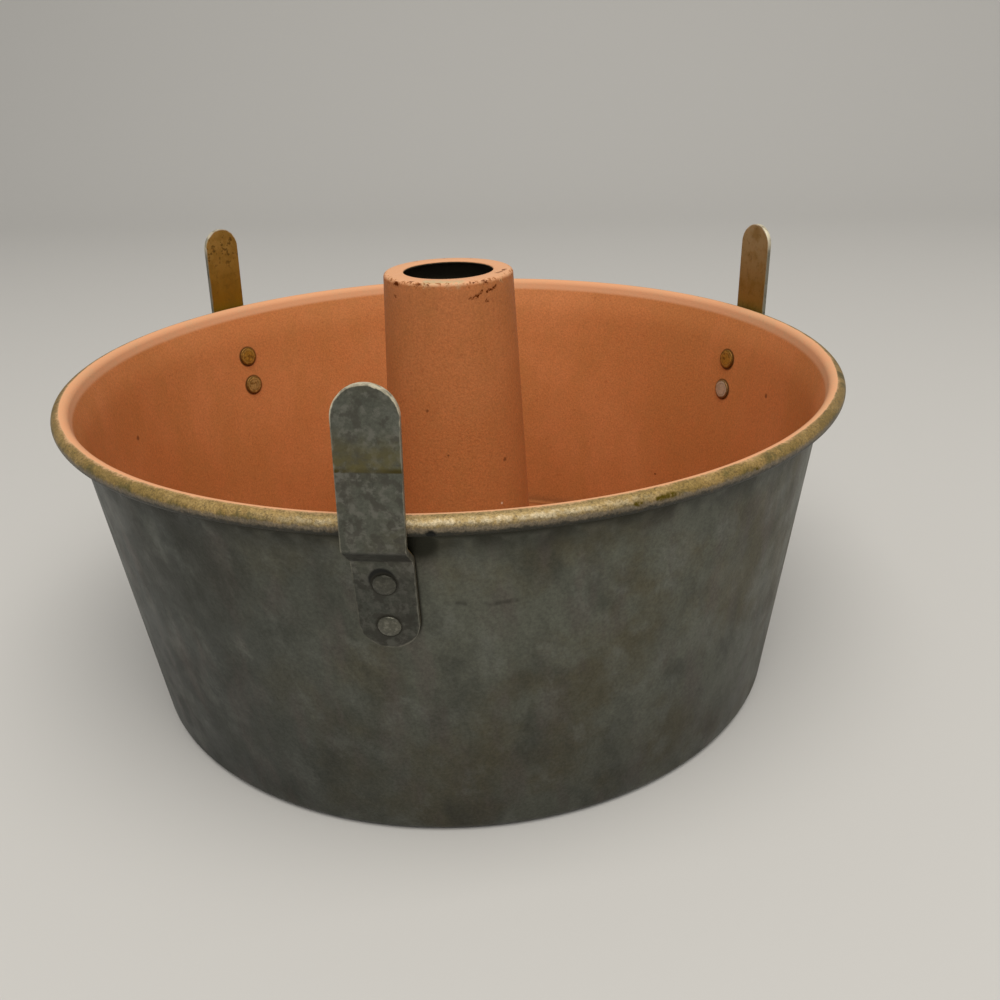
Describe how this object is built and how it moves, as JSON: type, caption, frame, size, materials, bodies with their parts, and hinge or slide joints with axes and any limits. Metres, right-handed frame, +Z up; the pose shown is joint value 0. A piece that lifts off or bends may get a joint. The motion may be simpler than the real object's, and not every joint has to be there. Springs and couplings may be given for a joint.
{
  "type": "angel food cake pan",
  "caption": "Round tapered cake pan with a rolled rim, riveted cooling legs that stand above the rim, and a loose base with a tall centre tube that lifts out.",
  "frame": {"origin": "on the pan's axis, on the table that the pan stands on", "axes": "+Z up along the pan's axis; the front cooling leg points along -Y; +X to the right, seen from the front"},
  "size_m": [0.27, 0.2719, 0.1466],
  "materials": {
    "tarnished_aluminium": "satin",
    "terracotta_coating": "matte",
    "strap_aluminium": "satin",
    "rivet_aluminium": "satin"
  },
  "bodies": {
    "ring": {"outer_ring": "tarnished_aluminium", "leg_front": "strap_aluminium", "leg_rear_right": "strap_aluminium", "leg_rear_left": "strap_aluminium", "rivet_front_lower": "rivet_aluminium", "rivet_front_upper": "rivet_aluminium", "rivet_rear_right_lower": "rivet_aluminium", "rivet_rear_right_upper": "rivet_aluminium", "rivet_rear_left_lower": "rivet_aluminium", "rivet_rear_left_upper": "rivet_aluminium"},
    "insert": {"base_plate": "terracotta_coating", "center_tube": "terracotta_coating"}
  },
  "joints": [
    {"name": "insert_lift", "type": "slide", "parent": "ring", "child": "insert", "axis": [0, 0, 1], "range_m": [0, 0.16]}
  ]
}
